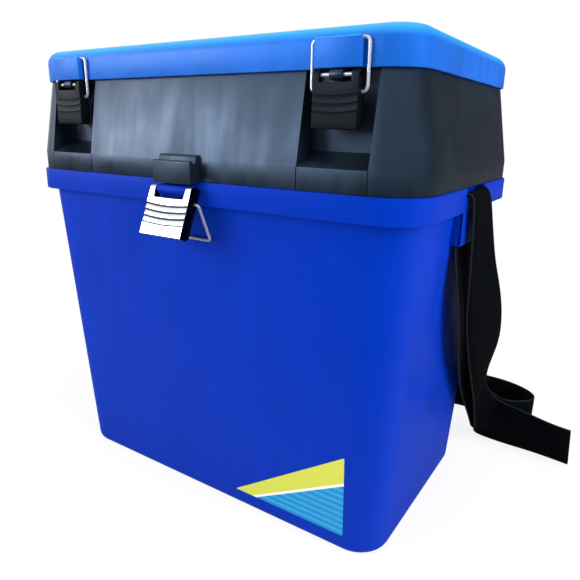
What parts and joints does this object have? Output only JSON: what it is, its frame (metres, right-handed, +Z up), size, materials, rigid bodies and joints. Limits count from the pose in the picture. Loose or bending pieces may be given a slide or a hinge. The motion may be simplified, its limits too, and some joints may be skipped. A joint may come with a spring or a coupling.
{
  "type": "fishing seat box",
  "caption": "Blue fishing seat box with a tackle bin, a hinged black tray section, a hinged lid that serves as the seat, draw latches and a shoulder strap.",
  "frame": {"origin": "middle of the flat base, on the ground", "axes": "+X to the sitter's right when facing the latches from behind the box, -Y towards the side with the latches, +Z up"},
  "size_m": [0.5018, 0.357, 0.397],
  "materials": {
    "blue_bin": "satin moulded, royal blue",
    "blue_lid": "satin moulded, royal blue",
    "black_tray": "fine-grained black",
    "black_lever": "satin black",
    "silver_lever": "silver",
    "steel_wire": "bright drawn wire",
    "steel_pin": "plain steel",
    "black_webbing": "plain-woven webbing with a lighter selvedge"
  },
  "bodies": {
    "bin": {"bottom_box": "blue_bin", "shoulder_strap": "black_webbing", "centre_latch_pin": "steel_pin", "tray_hinge_pin_left": "steel_pin", "tray_hinge_pin_right": "steel_pin"},
    "tray": {"tray_housing": "black_tray", "latch_pin_left": "steel_pin", "latch_pin_right": "steel_pin", "lid_hinge_pin_left": "steel_pin", "lid_hinge_pin_right": "steel_pin"},
    "lid": {"lid": "blue_lid"},
    "left_lever": {"latch_lever_left": "black_lever"},
    "left_bail": {"latch_bail_left": "steel_wire"},
    "right_lever": {"latch_lever_right": "black_lever"},
    "right_bail": {"latch_bail_right": "steel_wire"},
    "centre_lever": {"centre_latch_lever": "silver_lever"},
    "centre_bail": {"centre_latch_bail": "steel_wire"}
  },
  "joints": [
    {"name": "tray_opening", "type": "hinge", "parent": "bin", "child": "tray", "pos_m": [0, 0.13, 0.2938], "axis": [-1, 0, 0], "range_deg": [0, 95]},
    {"name": "lid_opening", "type": "hinge", "parent": "tray", "child": "lid", "pos_m": [0, 0.12, 0.371], "axis": [-1, 0, 0], "range_deg": [0, 100]},
    {"name": "left_lever_swing", "type": "hinge", "parent": "tray", "child": "left_lever", "pos_m": [-0.1326, -0.1185, 0.367], "axis": [-1, 0, 0], "range_deg": [0, 90]},
    {"name": "left_bail_swing", "type": "hinge", "parent": "left_lever", "child": "left_bail", "pos_m": [-0.1326, -0.116, 0.357], "axis": [-1, 0, 0], "range_deg": [-66, 0]},
    {"name": "right_lever_swing", "type": "hinge", "parent": "tray", "child": "right_lever", "pos_m": [0.1326, -0.1185, 0.367], "axis": [-1, 0, 0], "range_deg": [0, 90]},
    {"name": "right_bail_swing", "type": "hinge", "parent": "right_lever", "child": "right_bail", "pos_m": [0.1326, -0.116, 0.357], "axis": [-1, 0, 0], "range_deg": [-66, 0]},
    {"name": "centre_lever_swing", "type": "hinge", "parent": "bin", "child": "centre_lever", "pos_m": [0, -0.1311, 0.2871], "axis": [-1, 0, 0], "range_deg": [0, 70]},
    {"name": "centre_bail_swing", "type": "hinge", "parent": "centre_lever", "child": "centre_bail", "pos_m": [0, -0.13065, 0.27709], "axis": [1, 0, 0], "range_deg": [-190, 0]}
  ],
  "couplings": [
    {"joint": "left_bail_swing", "follows": "left_lever_swing", "ratio": -0.69},
    {"joint": "right_bail_swing", "follows": "right_lever_swing", "ratio": -0.69}
  ]
}
